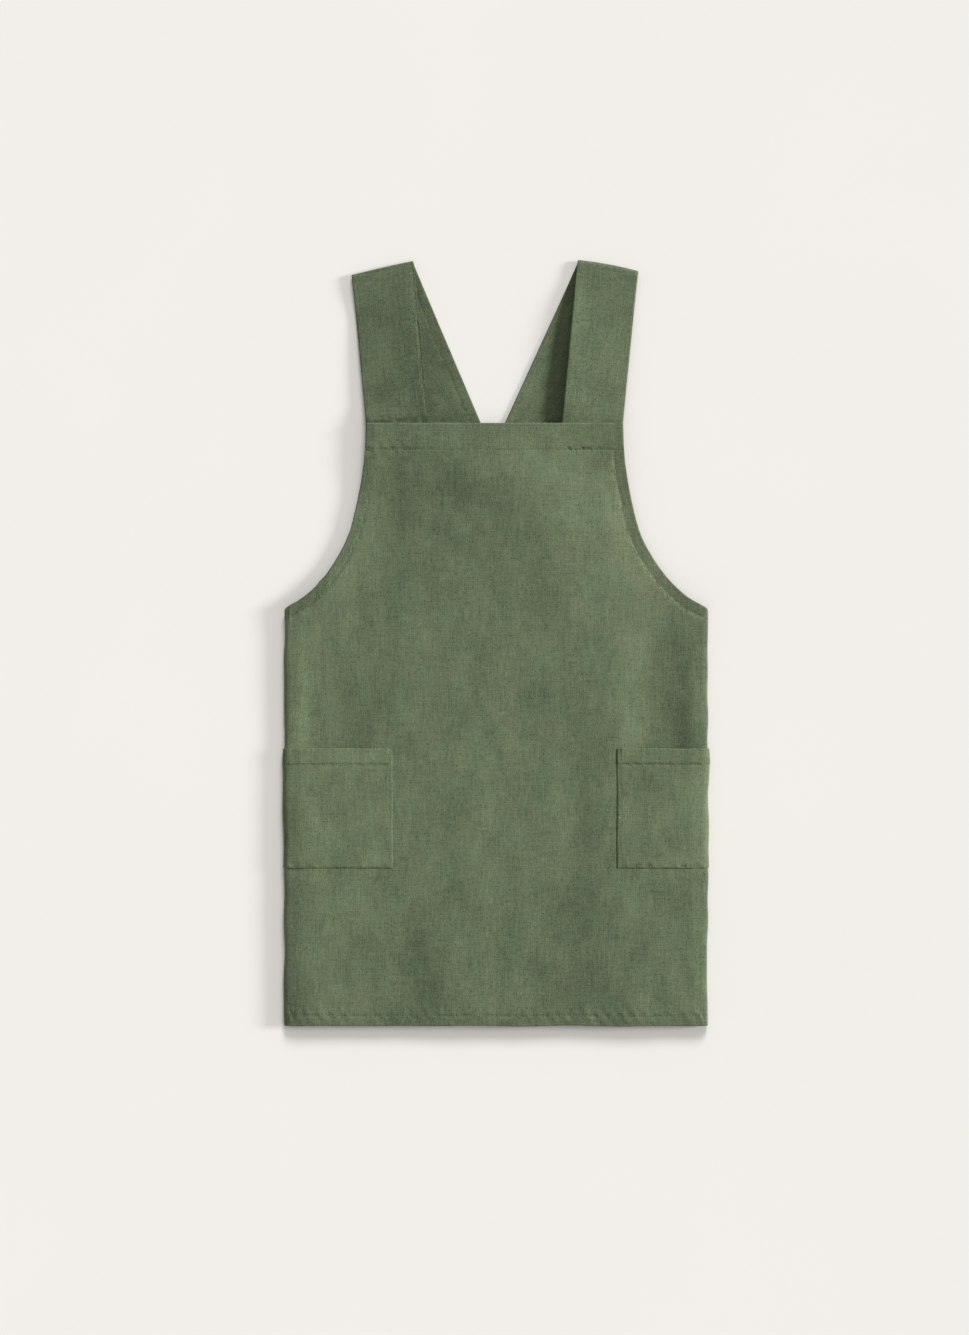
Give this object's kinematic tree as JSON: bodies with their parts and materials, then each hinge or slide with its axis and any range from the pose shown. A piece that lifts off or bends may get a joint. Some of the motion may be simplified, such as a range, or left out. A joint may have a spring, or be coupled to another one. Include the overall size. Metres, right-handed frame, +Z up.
{
  "type": "cross back apron",
  "caption": "Linen work apron laid flat with its sides folded under: wide bib, curved armholes, straps that cross behind, and patch pockets wrapped round the sides.",
  "frame": {"origin": "middle of the apron's box, on the surface it lies on", "axes": "+Y from the hem to the shoulders, +X to the right as it is looked down on, +Z up from the surface, so the front of the apron faces +Z"},
  "size_m": [0.5142, 0.9184, 0.0159],
  "materials": {
    "linen": "washed plain-weave linen, olive green, matt, with slubs"
  },
  "bodies": {
    "root": {"body_panel": "linen", "bib_facing": "linen", "armhole_facing_left": "linen", "armhole_facing_right": "linen", "strap_left": "linen", "strap_right": "linen", "pocket_left": "linen", "pocket_right": "linen"}
  },
  "joints": []
}
